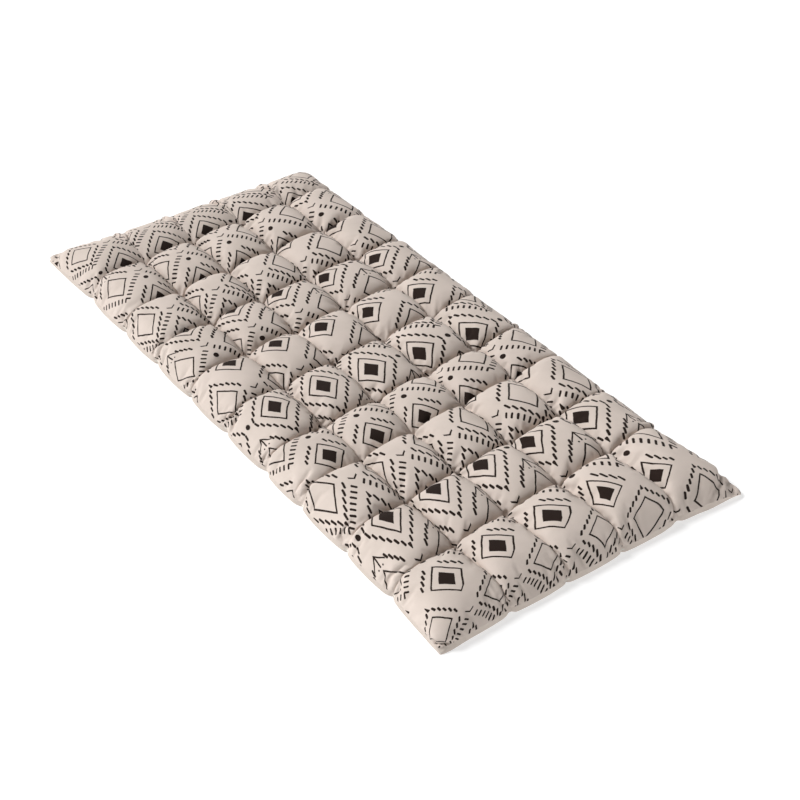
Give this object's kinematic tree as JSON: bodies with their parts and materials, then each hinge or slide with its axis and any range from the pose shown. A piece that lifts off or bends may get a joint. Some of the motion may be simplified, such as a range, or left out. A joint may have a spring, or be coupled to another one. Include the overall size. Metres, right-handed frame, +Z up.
{
  "type": "futon mattress",
  "caption": "Thin tufted futon floor mattress in off-white cotton with a dark geometric print, drawn into rows of puffs; folds in half.",
  "frame": {"origin": "middle of the underside, where the mattress rests on the floor", "axes": "+Z up, +Y along the mattress to the far end that folds over, +X across it"},
  "size_m": [0.9, 1.9, 0.105],
  "materials": {
    "printed_cotton": "matt woven cotton with a dark brown geometric print",
    "plain_cotton": "matt plain woven cotton",
    "wadding": "loose fibre wadding",
    "thread": "matt cotton thread"
  },
  "bodies": {
    "near_half": {"near_top_cover": "printed_cotton", "near_bottom_cover": "plain_cotton", "near_upper_wadding": "wadding", "near_lower_wadding": "wadding", "tuft_ties_row_1": "thread", "tuft_ties_row_2": "thread", "tuft_ties_row_3": "thread", "tuft_ties_row_4": "thread", "tuft_ties_row_5": "thread", "near_end_seam": "thread", "near_left_seam": "thread", "near_right_seam": "thread"},
    "far_half": {"far_top_cover": "printed_cotton", "far_bottom_cover": "plain_cotton", "far_upper_wadding": "wadding", "far_lower_wadding": "wadding", "tuft_ties_row_6": "thread", "tuft_ties_row_7": "thread", "tuft_ties_row_8": "thread", "tuft_ties_row_9": "thread", "far_end_seam": "thread", "far_left_seam": "thread", "far_right_seam": "thread", "closing_stitches": "thread"}
  },
  "joints": [
    {"name": "fold", "type": "hinge", "parent": "near_half", "child": "far_half", "pos_m": [0, 0.004, 0.1053], "axis": [1, 0, 0], "range_deg": [0, 180]}
  ]
}
